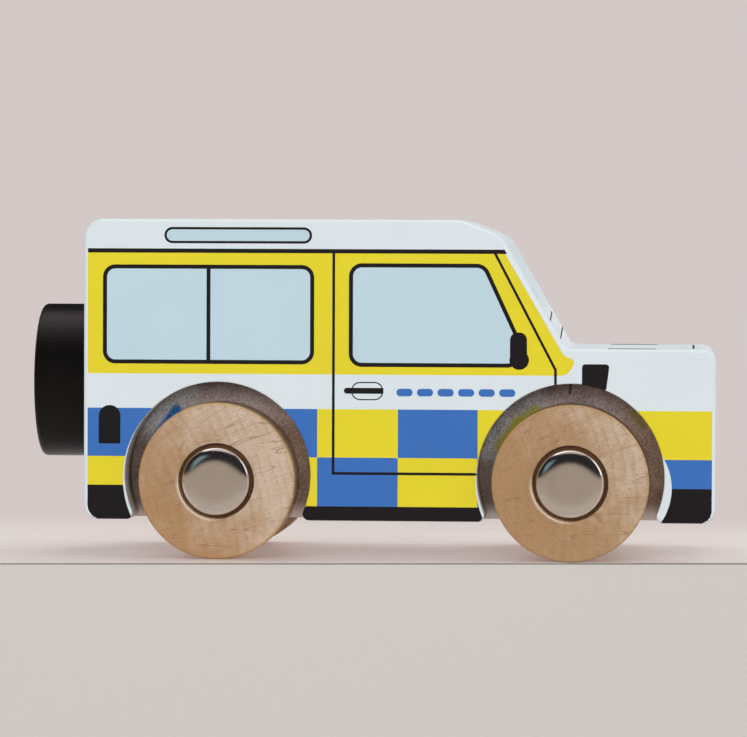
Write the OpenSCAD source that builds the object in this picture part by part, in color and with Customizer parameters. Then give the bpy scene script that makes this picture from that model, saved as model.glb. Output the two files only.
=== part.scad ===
// Wooden toy police car: an off-roader cut from one painted block, on free-turning wooden wheels.
// X runs along the car towards the bonnet, Y across it and Z up from the ground under the wheels.

/* [Body block] */
// Length of the block from its rear face to its front face
body_l = 126.4; // [122:0.2:150]
// Width of the block between its flat sides
body_w = 50; // [44:0.5:70]
// Height of the block from its underside to its roof
body_h = 60.2; // [54:0.2:72]
// Height of the block's underside above the ground
ground_clearance = 7.75; // [6:0.25:10]
// Height of the bonnet top above the underside
bonnet_h = 34.6; // [32:0.2:40]
// Length of the bonnet from the foot of the windscreen to the front face
bonnet_l = 29.9; // [26:0.1:34]
// Lean of the windscreen back from upright, in degrees
windscreen_lean = 30; // [20:1:36]
// Length of the sloping brow between the flat roof and the windscreen
brow_l = 8; // [6:0.5:12]
// Drop of the sloping brow from the flat roof to the windscreen
brow_drop = 3; // [2:0.25:4]
// Rounding of the long edges between the sides and the outline
edge_r = 0.7; // [0.5:0.1:1.6]
// Rounding of the roof corner at the rear
rear_top_r = 3.8; // [2.5:0.1:6]
// Rounding of the bonnet corner at the front
front_top_r = 2.9; // [2:0.1:5]
// Rounding of the two lower corners
bottom_r = 2.7; // [2:0.1:4]
// Rounding at both ends of the brow
brow_r = 5; // [3:0.5:6]
// Hollow fillet where the windscreen meets the bonnet
windscreen_foot_r = 2.2; // [1.5:0.1:4]

/* [Running gear] */
// Distance from the rear face to the rear axle
rear_overhang = 27; // [24:0.5:32]
// Distance between the two axles
wheelbase = 70.6; // [62:0.2:72]
// Diameter of the wheels and of the spare
wheel_d = 31.3; // [28:0.1:33]
// Thickness of the wheels and of the spare
wheel_t = 11.6; // [9:0.1:14]
// Rounding of the wheel rims
wheel_edge_r = 1; // [0.5:0.1:2]
// Gap between a wheel and the round wall of its pocket
pocket_gap = 3; // [2:0.1:4]
// Height of a pocket's centre above its axle
pocket_lift = 1.1; // [0:0.1:2]
// Depth of a pocket in from the side
pocket_depth = 10.5; // [8:0.1:12]
// Diameter of the axle rods
axle_d = 5; // [4:0.1:6]
// Running gap round an axle in the block and in the wheels
running_gap = 0.08; // [0.05:0.01:0.1]
// End play on each side of a wheel
end_play = 0.3; // [0.2:0.05:0.6]

/* [Axle ends] */
// Diameter of the domed push-on caps
cap_d = 13.5; // [11:0.1:15]
// Height of a cap from its mouth to its crown
cap_h = 3.6; // [3.4:0.1:5]
// Thickness of the cap's sheet
cap_wall = 0.5; // [0.4:0.05:0.7]
// Rounding between a cap's crown and its skirt
cap_edge_r = 1.6; // [1:0.1:2.7]
// Height of a cap's crown above the wheel's outer face
cap_proud = 2.3; // [0.5:0.1:2.6]
// Gap between a cap and the wall of its recess in the wheel
cap_gap = 0.95; // [0.5:0.05:1.5]
// Thickness of the toothed grip washers inside the caps
grip_t = 0.5; // [0.3:0.05:0.7]
// Number of teeth on a grip washer
grip_teeth = 6; // [4:1:8]
// Width of the slots between the teeth
grip_slot = 1.1; // [0.8:0.1:1.4]
// Length of the axle that stands out of a grip washer
axle_tip = 1.6; // [1:0.1:2]
// Outer diameter of the spacer washers behind the wheels
spacer_d = 11; // [9:0.5:14]
// Thickness of the spacer washers
spacer_t = 1; // [0.6:0.1:1.6]
// Gap round the axle inside a spacer washer
spacer_gap = 0.2; // [0.15:0.05:0.5]

/* [Spare wheel] */
// Height of the spare wheel's centre above the underside
spare_h = 27.2; // [20:0.2:36]
// Diameter of the dowel that holds the spare wheel
dowel_d = 6; // [5:0.5:10]
// Depth of the dowel in the block
dowel_depth = 14; // [8:0.5:20]

/* [Hidden] */
$fn = 96;

// Sides of a hull's round corners
corner_fn = 32;
// How far a cut runs past the face it opens
overrun = 1;
// Sides of the car as directions along Y
left = 1;
right = -1;

// Faces of the block, with the spare's outer face and the front face at equal distances from zero
rear_x = (wheel_t - body_l) / 2;
front_x = rear_x + body_l;
underside_z = ground_clearance;
roof_z = underside_z + body_h;
bonnet_z = underside_z + bonnet_h;

// Windscreen, from the foot on the bonnet up to the brow, and its root inside the block
foot_x = front_x - bonnet_l;
screen_run = tan(windscreen_lean);
brow_z = roof_z - brow_drop;
brow_x = foot_x - (brow_z - bonnet_z) * screen_run;
root_z = (underside_z + bonnet_z) / 2;
root_x = foot_x + (bonnet_z - root_z) * screen_run;

// Outlines as corners of X, Z and rounding
cabin_outline = [
    [rear_x, underside_z, bottom_r],
    [rear_x, roof_z, rear_top_r],
    [brow_x - brow_l, roof_z, brow_r],
    [brow_x, brow_z, brow_r],
    [root_x, root_z, bottom_r],
    [root_x, underside_z, bottom_r]
];
bonnet_outline = [
    [brow_x, underside_z, bottom_r],
    [brow_x, bonnet_z, bottom_r],
    [front_x, bonnet_z, front_top_r],
    [front_x, underside_z, bottom_r]
];

// Axles and pockets
wheel_r = wheel_d / 2;
hub_z = wheel_r;
rear_hub_x = rear_x + rear_overhang;
front_hub_x = rear_hub_x + wheelbase;
hubs = [rear_hub_x, front_hub_x];
pocket_r = wheel_r + pocket_gap;
pocket_y = body_w / 2 - pocket_depth;
axle_r = axle_d / 2;
bore_r = axle_r + running_gap;

// Stack along an axle, out from the pocket's floor
wheel_in_y = pocket_y + spacer_t + end_play;
wheel_out_y = wheel_in_y + wheel_t;
cap_r = cap_d / 2;
cap_out_y = wheel_out_y + cap_proud;
cap_in_y = cap_out_y - cap_h;
recess_r = cap_r + cap_gap;
recess_depth = wheel_out_y - cap_in_y + end_play;
grip_r = cap_r - cap_wall;
grip_root_r = (axle_r + grip_r) / 2;
axle_half = cap_in_y + grip_t + axle_tip;

// Spare wheel on the rear face
spare_z = underside_z + spare_h;
dowel_r = dowel_d / 2;

// Unit vector from one outline corner to another
function toward(a, b) = let (d = [b[0] - a[0], b[1] - a[1]]) d / norm(d);

// Centre of the round that touches both edges of outline corner i
function round_centre(outline, i) =
    let (
        n = len(outline),
        at = outline[i],
        back = toward(at, outline[(i + n - 1) % n]),
        ahead = toward(at, outline[(i + 1) % n]),
        middle = back + ahead,
        half = acos(back * ahead) / 2
    )
    [at[0], at[1]] + middle / norm(middle) * at[2] / sin(half);

// Half section of a disc whose rims are rounded
module disc_section(r, t, edge) {
    square([r - edge, t]);
    translate([0, edge]) square([r, t - 2 * edge]);
    for (z = [edge, t - edge]) translate([r - edge, z]) circle(r = edge);
}

// Half section of a domed cap's outside
module dome_section(r, h, edge) {
    square([r - edge, h]);
    square([r, h - edge]);
    intersection() {
        square([r, h]);
        translate([r - edge, h - edge]) circle(r = edge);
    }
}

// Slab across the car with a rounded outline and rounded rims
module rounded_slab(outline) {
    hull() for (i = [0 : len(outline) - 1]) {
        centre = round_centre(outline, i);
        translate([centre[0], body_w / 2, centre[1]]) rotate([90, 0, 0])
            rotate_extrude($fn = corner_fn)
                disc_section(outline[i][2], body_w, edge_r, $fn = corner_fn);
    }
}

// Hollow fillet between the windscreen and the bonnet
module foot_fillet() {
    turn = 90 - windscreen_lean;
    reach = windscreen_foot_r * tan(turn / 2);
    fillet_w = body_w - 2 * edge_r;
    up = [-sin(windscreen_lean), cos(windscreen_lean)] * reach;
    foot = [foot_x, bonnet_z];
    translate([0, fillet_w / 2, 0]) rotate([90, 0, 0]) linear_extrude(fillet_w) difference() {
        polygon([foot - [reach, edge_r], foot + up, foot + [reach, 0], foot + [reach, -edge_r]]);
        translate(foot + [reach, windscreen_foot_r]) circle(r = windscreen_foot_r);
    }
}

// Places a piece on a hub with its own Z pointing out of one side of the car
module on_hub(x, side) {
    translate([x, 0, hub_z]) rotate([-90 * side, 0, 0]) children();
}

module body_block() {
    color("white") difference() {
        union() {
            rounded_slab(cabin_outline);
            rounded_slab(bonnet_outline);
            foot_fillet();
        }
        for (x = hubs) {
            for (side = [left, right])
                on_hub(x, side) translate([0, -side * pocket_lift, pocket_y])
                    cylinder(r = pocket_r, h = pocket_depth + overrun);
            on_hub(x, left) translate([0, 0, -body_w / 2]) cylinder(r = bore_r, h = body_w);
        }
        translate([rear_x - overrun, 0, spare_z]) rotate([0, 90, 0])
            cylinder(r = dowel_r, h = dowel_depth + overrun);
    }
}

module axle(x) {
    color("silver") on_hub(x, left) translate([0, 0, -axle_half]) cylinder(r = axle_r, h = 2 * axle_half);
}

module wheel(x, side) {
    color("burlywood") on_hub(x, side) translate([0, 0, wheel_in_y]) rotate_extrude() difference() {
        disc_section(wheel_r, wheel_t, wheel_edge_r);
        translate([0, -overrun]) square([bore_r, wheel_t + 2 * overrun]);
        translate([0, wheel_t - recess_depth]) square([recess_r, recess_depth + overrun]);
    }
}

module cap(x, side) {
    color("gainsboro") on_hub(x, side) translate([0, 0, cap_in_y]) rotate_extrude() difference() {
        dome_section(cap_r, cap_h, cap_edge_r);
        translate([0, -overrun]) dome_section(grip_r, cap_h - cap_wall + overrun, cap_edge_r - cap_wall);
    }
}

module grip(x, side) {
    color("slategray") on_hub(x, side) translate([0, 0, cap_in_y]) difference() {
        cylinder(r = grip_r, h = grip_t);
        translate([0, 0, -overrun]) cylinder(r = axle_r, h = grip_t + 2 * overrun);
        for (i = [0 : grip_teeth - 1]) rotate(i * 360 / grip_teeth)
            translate([0, -grip_slot / 2, -overrun]) cube([grip_root_r, grip_slot, grip_t + 2 * overrun]);
    }
}

module spacer(x, side) {
    color("ivory") on_hub(x, side) translate([0, 0, pocket_y]) difference() {
        cylinder(d = spacer_d, h = spacer_t);
        translate([0, 0, -overrun]) cylinder(r = axle_r + spacer_gap, h = spacer_t + 2 * overrun);
    }
}

module spare_wheel() {
    color([0.1, 0.09, 0.1]) translate([rear_x, 0, spare_z]) rotate([0, -90, 0]) rotate_extrude() difference() {
        disc_section(wheel_r, wheel_t, wheel_edge_r);
        translate([0, -overrun]) square([dowel_r, wheel_t + 2 * overrun]);
    }
}

module spare_dowel() {
    color([0.14, 0.12, 0.13]) translate([rear_x - wheel_t, 0, spare_z]) rotate([0, 90, 0])
        cylinder(r = dowel_r, h = wheel_t + dowel_depth);
}

body_block();
axle(front_hub_x);  // front_axle
axle(rear_hub_x);  // rear_axle
wheel(front_hub_x, left);  // wheel_front_left
wheel(front_hub_x, right);  // wheel_front_right
wheel(rear_hub_x, left);  // wheel_rear_left
wheel(rear_hub_x, right);  // wheel_rear_right
cap(front_hub_x, left);  // cap_front_left
cap(front_hub_x, right);  // cap_front_right
cap(rear_hub_x, left);  // cap_rear_left
cap(rear_hub_x, right);  // cap_rear_right
grip(front_hub_x, left);  // grip_front_left
grip(front_hub_x, right);  // grip_front_right
grip(rear_hub_x, left);  // grip_rear_left
grip(rear_hub_x, right);  // grip_rear_right
spacer(front_hub_x, left);  // spacer_front_left
spacer(front_hub_x, right);  // spacer_front_right
spacer(rear_hub_x, left);  // spacer_rear_left
spacer(rear_hub_x, right);  // spacer_rear_right
spare_wheel();
spare_dowel();
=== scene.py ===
import bpy
import math
from mathutils import Matrix, Vector
from mathutils.geometry import delaunay_2d_cdt


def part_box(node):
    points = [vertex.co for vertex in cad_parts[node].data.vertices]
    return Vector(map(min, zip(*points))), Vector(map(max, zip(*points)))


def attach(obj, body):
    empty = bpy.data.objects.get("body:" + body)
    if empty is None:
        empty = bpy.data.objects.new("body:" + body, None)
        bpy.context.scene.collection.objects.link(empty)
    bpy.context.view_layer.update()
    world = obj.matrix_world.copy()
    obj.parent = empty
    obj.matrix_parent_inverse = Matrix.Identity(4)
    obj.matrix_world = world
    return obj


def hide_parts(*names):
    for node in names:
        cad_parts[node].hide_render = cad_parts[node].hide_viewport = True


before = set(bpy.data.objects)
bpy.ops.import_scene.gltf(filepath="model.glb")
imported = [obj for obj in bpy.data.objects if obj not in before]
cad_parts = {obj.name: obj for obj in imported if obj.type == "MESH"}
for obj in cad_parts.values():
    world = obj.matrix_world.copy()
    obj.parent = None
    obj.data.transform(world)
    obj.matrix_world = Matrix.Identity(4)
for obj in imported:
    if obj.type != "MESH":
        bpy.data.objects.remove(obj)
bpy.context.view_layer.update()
mm = 0.001  # shapes are written in millimetres, Blender works in metres
scene = bpy.context.scene
print("frame loaded")


def addObject(name, data):
    thing = bpy.data.objects.new(name, data)
    scene.collection.objects.link(thing)
    return thing


# camera at the photograph's angle
cameraSet = {
    "place": (63.54, -885.0, 61.75),
    "yaw": 4.170,
    "pitch": -1.561,
    "roll": 0.214,
    "lens": 208.43,
    "sensor": 36.0,
    "near": 0.01,
    "far": 30.0,
}


def makeCamera(plan):
    data = bpy.data.cameras.new("photoCamera")
    data.lens = plan["lens"]
    data.sensor_width = plan["sensor"]
    data.clip_start = plan["near"]
    data.clip_end = plan["far"]
    turn = Matrix.Rotation(math.radians(plan["yaw"]), 4, "Z")
    turn = turn @ Matrix.Rotation(math.radians(90.0 + plan["pitch"]), 4, "X")
    turn = turn @ Matrix.Rotation(math.radians(plan["roll"]), 4, "Z")
    camera = addObject("photoCamera", data)
    camera.matrix_world = Matrix.Translation(Vector(plan["place"]) * mm) @ turn
    scene.camera = camera


makeCamera(cameraSet)
print("camera placed")


# places read from the frame, in millimetres
lowBody, highBody = (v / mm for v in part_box("body_block"))
lowRear, highRear = (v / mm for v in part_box("wheel_rear_right"))
lowFront, highFront = (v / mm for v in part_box("wheel_front_right"))
lowCap, highCap = (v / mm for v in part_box("cap_rear_right"))
lowSpare, highSpare = (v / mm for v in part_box("spare_wheel"))
lowDowel, highDowel = (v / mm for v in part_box("spare_dowel"))
wheelR = (highRear.x - lowRear.x) / 2
wheelIn = -highRear.y
wheelOut = -lowRear.y
hubZ = (highRear.z + lowRear.z) / 2
hubs = {
    "rear": (highRear.x + lowRear.x) / 2,
    "front": (highFront.x + lowFront.x) / 2,
}
sides = {
    "left": 1,
    "right": -1,
}
stations = [(end, hand) for end in hubs for hand in sides]


# node helpers, where a value is a socket to link or a constant, and every colour is opaque
def feed(tree, sockets, values):
    for name, value in values.items():
        socket = sockets[name]
        if isinstance(value, bpy.types.NodeSocket):
            tree.links.new(value, socket)
        elif socket.type == "RGBA":
            socket.default_value = (*value, 1.0)
        else:
            socket.default_value = value


def addNode(tree, kind, inputs=None, **settings):
    node = tree.nodes.new(kind)
    for name, value in settings.items():
        setattr(node, name, value)
    feed(tree, node.inputs, inputs or {})
    return node


def mathNode(tree, operation, first, second=0.0, third=0.0):
    return addNode(tree, "ShaderNodeMath", {0: first, 1: second, 2: third}, operation=operation).outputs[0]


def times(tree, first, second):
    return mathNode(tree, "MULTIPLY", first, second)


def timesPlus(tree, first, second, third):
    return mathNode(tree, "MULTIPLY_ADD", first, second, third)


def minus(tree, first, second):
    return mathNode(tree, "SUBTRACT", first, second)


def vectorNode(tree, operation, first, second=(0.0, 0.0, 0.0), result="Vector"):
    return addNode(tree, "ShaderNodeVectorMath", {0: first, 1: second}, operation=operation).outputs[result]


def lengthOf(tree, vector):
    return vectorNode(tree, "LENGTH", vector, result="Value")


def sideView(tree, place):
    return vectorNode(tree, "MULTIPLY", place, (1.0, 0.0, 1.0))


def axesOf(tree, vector):
    return addNode(tree, "ShaderNodeSeparateXYZ", {0: vector}).outputs


def vectorOf(tree, x, y=0.0, z=0.0):
    return addNode(tree, "ShaderNodeCombineXYZ", {0: x, 1: y, 2: z}).outputs[0]


def ramp(tree, value, low, high, toLow=0.0, toHigh=1.0):
    return addNode(tree, "ShaderNodeMapRange",
                   {"Value": value, "From Min": low, "From Max": high, "To Min": toLow, "To Max": toHigh},
                   interpolation_type="SMOOTHSTEP").outputs["Result"]


def noise(tree, place, scale, detail=2.0, roughness=0.5):
    return addNode(tree, "ShaderNodeTexNoise", {"Vector": place, "Scale": scale, "Detail": detail,
                                                "Roughness": roughness}).outputs["Fac"]


def mixed(tree, factor, first, second, kind="MIX"):
    return addNode(tree, "ShaderNodeMix", {0: factor, 6: first, 7: second},
                   data_type="RGBA", blend_type=kind).outputs[2]


def newGroup(name, inputs, outputs, kind="ShaderNodeTree"):
    tree = bpy.data.node_groups.new(name, kind)
    for way, sockets in (("INPUT", inputs), ("OUTPUT", outputs)):
        for title, socket in sockets.items():
            tree.interface.new_socket(title, in_out=way, socket_type="NodeSocket" + socket)
    start = tree.nodes.new("NodeGroupInput")
    end = tree.nodes.new("NodeGroupOutput")
    return tree, start.outputs, end.inputs


def useGroup(tree, group, inputs):
    return addNode(tree, "ShaderNodeGroup", inputs, node_tree=group).outputs


# sprayed paint: slow mottle, fine speckle and a faint orange peel over the grain
def makePaintSkin():
    tree, given, out = newGroup(
        "paintSkin",
        {"Place": "Vector", "Colour": "Color", "Mottle": "Float", "Gloss": "Float", "Grain": "Float"},
        {"Colour": "Color", "Roughness": "Float", "Height": "Float"})
    slow = noise(tree, given["Place"], 70.0, 3.0)
    fine = noise(tree, given["Place"], 2600.0, 1.0)
    shift = minus(tree, timesPlus(tree, fine, 0.6, slow), 0.8)
    shift = timesPlus(tree, shift, given["Mottle"], 1.0)
    grey = addNode(tree, "ShaderNodeCombineColor", {0: shift, 1: shift, 2: shift}).outputs[0]
    peel = noise(tree, given["Place"], 750.0, 2.0)
    along = vectorNode(tree, "MULTIPLY", given["Place"], (70.0, 1100.0, 1100.0))
    grain = noise(tree, along, 1.0, 2.0)
    feed(tree, out, {
        "Colour": mixed(tree, 1.0, given["Colour"], grey, "MULTIPLY"),
        "Roughness": timesPlus(tree, minus(tree, slow, 0.5), 0.22, given["Gloss"]),
        "Height": timesPlus(tree, grain, given["Grain"], peel)})
    return tree


# handling: sparse smudges and small dark specks
def makeHandling():
    tree, given, out = newGroup(
        "handling",
        {"Place": "Vector", "Colour": "Color", "Smudge": "Float", "Specks": "Float"},
        {"Colour": "Color"})
    cloud = noise(tree, given["Place"], 48.0, 5.0, 0.62)
    smudge = times(tree, ramp(tree, cloud, 0.56, 0.74), given["Smudge"])
    dots = addNode(tree, "ShaderNodeTexVoronoi", {"Vector": given["Place"], "Scale": 210.0}).outputs
    size = addNode(tree, "ShaderNodeSeparateColor", {0: dots["Color"]}).outputs[0]
    near = minus(tree, times(tree, ramp(tree, size, 0.72, 1.0), 0.085), dots["Distance"])
    speck = times(tree, ramp(tree, near, 0.0, 0.03), given["Specks"])
    mask = mathNode(tree, "MAXIMUM", smudge, speck)
    feed(tree, out, {"Colour": mixed(tree, mask, given["Colour"], (0.17, 0.14, 0.12))})
    return tree


# end grain of beech: rings about a pith off to one side, rays and flecks across them, and small pores
def makeBeechGrain():
    tree, given, out = newGroup(
        "beechGrain",
        {"Place": "Vector", "Pith": "Vector", "Spacing": "Float"},
        {name: "Float" for name in ("Ring", "Ray", "Fleck", "Pore", "CloudAndShade", "Height")})
    flat = sideView(tree, given["Place"])
    bend = addNode(tree, "ShaderNodeTexNoise", {"Vector": flat, "Scale": 0.09, "Detail": 3.0})
    bend = vectorNode(tree, "SUBTRACT", bend.outputs["Color"], (0.5, 0.5, 0.5))
    bend = vectorNode(tree, "MULTIPLY", bend, (2.6, 0.0, 2.6))
    away = vectorNode(tree, "SUBTRACT", vectorNode(tree, "ADD", flat, bend), given["Pith"])
    parts = axesOf(tree, away)
    reach = lengthOf(tree, away)
    angle = mathNode(tree, "ARCTAN2", parts["Z"], parts["X"])
    # uneven years
    year = mathNode(tree, "DIVIDE", reach, given["Spacing"])
    uneven = noise(tree, vectorOf(tree, year), 0.55, 1.0)
    phase = mathNode(tree, "FRACT", timesPlus(tree, uneven, 1.4, year))
    late = times(tree, ramp(tree, phase, 0.4, 0.95), ramp(tree, phase, 1.0, 0.96))
    fade = noise(tree, flat, 0.22, 2.0)
    late = times(tree, late, ramp(tree, fade, 0.3, 0.6))
    # thin rays point at the pith and run along the axle, with short pale flecks beside them
    deep = axesOf(tree, given["Place"])["Y"]
    fan = vectorOf(tree, times(tree, angle, 26.0), times(tree, reach, 0.05), times(tree, deep, 0.05))
    line = mathNode(tree, "ABSOLUTE", minus(tree, noise(tree, fan, 1.0, 1.0), 0.5))
    patchy = ramp(tree, noise(tree, flat, 0.25), 0.36, 0.52)
    short = vectorOf(tree, times(tree, angle, 150.0), times(tree, reach, 0.9), times(tree, deep, 0.4))
    # pores, and the slow change from golden to pale, in random patches with painted light: a straight ramp
    # lightens each face towards one side and darkens the other
    long = vectorNode(tree, "MULTIPLY", given["Place"], (1.0, 0.16, 1.0))
    pore = noise(tree, long, 2.6, 3.0, 0.7)
    patch = noise(tree, flat, 0.16, 3.0, 0.6)
    # painted shade: this straight ramp across the face stands for light falling from one side
    across = vectorNode(tree, "DOT_PRODUCT", flat, (0.025, 0.0, 0.014), "Value")
    cloud = mathNode(tree, "ADD", times(tree, patch, 1.2), across)
    feed(tree, out, {
        "Ring": late,
        "Ray": times(tree, ramp(tree, line, 0.018, 0.003), patchy),
        "Fleck": ramp(tree, noise(tree, short, 1.0, 2.0, 0.6), 0.5, 0.72),
        "Pore": ramp(tree, pore, 0.52, 0.72),
        "CloudAndShade": ramp(tree, cloud, 0.17, 1.07),
        "Height": timesPlus(tree, late, 0.5, times(tree, pore, -0.9))})
    return tree


# worked metal: fine lines round or along the piece, and soft patches of tarnish
def makeMetalSkin():
    tree, given, out = newGroup(
        "metalSkin",
        {"Place": "Vector", "Lines": "Vector", "Colour": "Color", "Polish": "Float", "Tarnish": "Float"},
        {"Colour": "Color", "Roughness": "Float", "Height": "Float"})
    lines = noise(tree, given["Lines"], 1.0, 3.0, 0.65)
    cloud = noise(tree, given["Place"], 260.0, 3.0)
    rough = timesPlus(tree, lines, 0.06, given["Polish"])
    dull = times(tree, ramp(tree, cloud, 0.4, 0.8), given["Tarnish"])
    feed(tree, out, {
        "Colour": mixed(tree, dull, given["Colour"], (0.22, 0.19, 0.16)),
        "Roughness": timesPlus(tree, ramp(tree, cloud, 0.45, 0.75), given["Tarnish"], rough),
        "Height": lines})
    return tree


paintSkin = makePaintSkin()
handling = makeHandling()
beechGrain = makeBeechGrain()
metalSkin = makeMetalSkin()
materials = {}  # by the name that the faces use


def addMaterials(make, plans):
    for name, plan in plans.items():
        materials[name] = make(name, plan)


def newMaterial(name):
    material = bpy.data.materials.new(name)
    material.use_nodes = True
    tree = material.node_tree
    return material, tree, tree.nodes["Principled BSDF"]


def objectPlace(tree):
    return addNode(tree, "ShaderNodeTexCoord").outputs["Object"]


def marked(tree, name):
    return addNode(tree, "ShaderNodeAttribute", attribute_name=name).outputs["Vector"]


def bump(tree, height, strength, distance):
    inputs = {"Height": height, "Strength": strength, "Distance": distance}
    return addNode(tree, "ShaderNodeBump", inputs).outputs["Normal"]


# paints and printing inks
def makePaint(name, plan):
    material, tree, shader = newMaterial(name)
    place = objectPlace(tree)
    worn = useGroup(tree, handling, {"Place": place, "Colour": plan["colour"],
                                     "Smudge": plan["smudge"], "Specks": plan["specks"]})
    skin = useGroup(tree, paintSkin, {"Place": place, "Colour": worn["Colour"], "Mottle": plan["mottle"],
                                      "Gloss": plan["gloss"], "Grain": plan["grain"]})
    feed(tree, shader.inputs, {
        "Base Color": skin["Colour"],
        "Roughness": skin["Roughness"],
        "Specular IOR Level": plan["shine"],
        "Normal": bump(tree, skin["Height"], plan["relief"], 0.00005)})
    return material


paintBase = {
    "smudge": 0.04,
    "specks": 0.22,
    "mottle": 0.05,
    "gloss": 0.46,
    "grain": 0.7,
    "relief": 0.16,
    "shine": 0.35,
}
inkBase = {
    **paintBase,
    "specks": 0.1,
    "mottle": 0.09,
    "gloss": 0.5,
}
darkBase = {
    **inkBase,
    "smudge": 0.0,
    "specks": 0.0,
    "mottle": 0.3,
    "shine": 0.2,
}
addMaterials(makePaint, {
    "bodyPaint": {**paintBase, "colour": (0.694, 0.760, 0.791)},
    "inkYellow": {**inkBase, "colour": (0.761, 0.638, 0.014)},
    "inkBlue": {**inkBase, "colour": (0.033, 0.148, 0.474)},
    "inkGlass": {**inkBase, "colour": (0.503, 0.658, 0.730)},
    "inkHaze": {**inkBase, "colour": (0.605, 0.710, 0.760)},
    "inkRed": {**inkBase, "colour": (0.52, 0.022, 0.018)},
    "inkOrange": {**inkBase, "colour": (0.76, 0.22, 0.015)},
    "inkBlack": {**darkBase, "colour": (0.0105, 0.0085, 0.0105)},
    "inkGrey": {**inkBase, "colour": (0.30, 0.31, 0.33)},
    "blackPaint": {**darkBase, "colour": (0.0045, 0.0036, 0.0034), "gloss": 0.34, "relief": 0.5, "grain": 1.6,
                   "specks": 0.3, "shine": 0.15},
    "spacerPlastic": {**paintBase, "colour": (0.62, 0.60, 0.54), "mottle": 0.08, "gloss": 0.38, "grain": 0.0},
})


# how far a place is from a line between two ends, all in the side view
def fromLine(tree, place, a, b):
    start = (a[0] * mm, 0.0, a[1] * mm)
    run = Vector(((b[0] - a[0]) * mm, 0.0, (b[1] - a[1]) * mm))
    away = vectorNode(tree, "SUBTRACT", sideView(tree, place), start)
    part = vectorNode(tree, "DOT_PRODUCT", away, run / run.length_squared, "Value")
    part = addNode(tree, "ShaderNodeClamp", {"Value": part}).outputs[0]
    foot = addNode(tree, "ShaderNodeVectorMath", {0: run, "Scale": part}, operation="SCALE").outputs[0]
    return lengthOf(tree, vectorNode(tree, "SUBTRACT", away, foot))


# wheel pockets: a dark brownish coat, partly a thin coat and partly painted shade of the recess, white on the
# outer wall, a patch of painted light and mists of the livery's inks
def makePocket(name, plan):
    material, tree, shader = newMaterial(name)
    place = objectPlace(tree)
    axes = axesOf(tree, place)
    grains = noise(tree, place, 2400.0, 2.0, 0.7)
    cloud = noise(tree, place, 170.0, 2.0)
    grit = minus(tree, timesPlus(tree, cloud, 0.5, grains), 0.75)
    # white, the paint's own colour, on the outer part of the wall, with painted shade deeper in; and a pale
    # patch of painted light on the upper rear of the floor
    across = mathNode(tree, "ABSOLUTE", axes["Y"])
    white = ramp(tree, timesPlus(tree, grit, plan["wallGrit"], across), *plan["wallRange"])
    drift = ramp(tree, fromLine(tree, place, *plan["drift"]), *plan["driftRange"])
    drift = times(tree, drift, ramp(tree, grit, -0.2, 0.2, 0.2, 0.8))
    white = mathNode(tree, "MAXIMUM", white, drift)
    # painted shade and light: the coat is dimmer towards the rear of the pocket, warmer towards its front,
    # and pale at the foot, where light bounces up from the floor
    thin = mixed(tree, ramp(tree, grit, -0.22, 0.22), plan["deep"], plan["coat"])
    rear, front = [(plan["hub"] + x) * mm for x in plan["lean"]]
    tint = mixed(tree, ramp(tree, axes["X"], rear, rear + plan["leanRun"]), plan["dusk"], (1.0, 1.0, 1.0))
    tint = mixed(tree, ramp(tree, axes["X"], front, front + plan["leanRun"]), tint, plan["warm"])
    thin = mixed(tree, 1.0, thin, tint, "MULTIPLY")
    low = timesPlus(tree, grit, plan["footGrit"], axes["Z"])
    thin = mixed(tree, ramp(tree, low, *plan["footRange"], 0.0, plan["footDepth"]), thin, plan["foot"])
    colour = mixed(tree, white, thin, plan["white"])
    soft = ramp(tree, grit, -0.25, 0.1, 0.6, 1.0)
    for a, b, full, gone, ink in plan["mists"]:
        mist = ramp(tree, fromLine(tree, place, a, b), gone * mm, full * mm)
        colour = mixed(tree, times(tree, mist, soft), colour, ink)
    feed(tree, shader.inputs, {
        "Base Color": colour,
        "Roughness": plan["roughness"],
        "Specular IOR Level": plan["shine"],
        "Normal": bump(tree, grains, plan["relief"], 0.00006)})
    return material


# the pocket's coat colours carry painted shade of the recess, and its pale foot colour is painted light
# bounced up from the floor
pocketBase = {
    "deep": (0.240, 0.176, 0.164),
    "coat": (0.520, 0.412, 0.390),
    "white": (0.720, 0.765, 0.800),
    "wallRange": (0.0160, 0.0222),
    "wallGrit": 0.003,
    "driftRange": (0.0048, 0.0006),
    "foot": (0.820, 0.760, 0.715),
    "footRange": (0.0114, 0.0078),
    "footGrit": 0.002,
    "footDepth": 0.9,
    "dusk": (0.68, 0.66, 0.63),
    "warm": (1.14, 0.96, 0.76),
    "lean": (-17.0, 7.0),
    "leanRun": 0.008,
    "roughness": 0.6,
    "shine": 0.25,
    "relief": 0.35,
}
# the yellow and olive mists are darker copies of the yellow ink, with the pocket's painted shade in them
mistBlue = (0.005, 0.140, 0.440)
mistYellow = (0.420, 0.385, 0.035)
mistOlive = (0.270, 0.225, 0.060)
mistBlack = (0.060, 0.042, 0.046)
addMaterials(makePocket, {
    "pocketRear": {
        **pocketBase,
        "hub": hubs["rear"],
        "drift": ((-44.9, 26.6), (-38.0, 33.0)),
        "mists": [((-43.7, 24.0), (-39.9, 29.4), 0.6, 1.5, mistBlue)],
    },
    "pocketFront": {
        **pocketBase,
        "hub": hubs["front"],
        "drift": ((23.0, 22.5), (31.4, 33.0)),
        "mists": [((25.6, 22.5), (29.3, 27.2), 0.3, 1.8, mistYellow),
                  ((29.3, 27.2), (32.8, 29.6), 0.3, 1.8, mistYellow),
                  ((54.6, 26.6), (52.2, 29.3), 0.0, 1.2, mistOlive),
                  ((39.85, 35.2), (39.7, 33.2), 0.05, 0.45, mistBlack)],
    },
})
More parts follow.
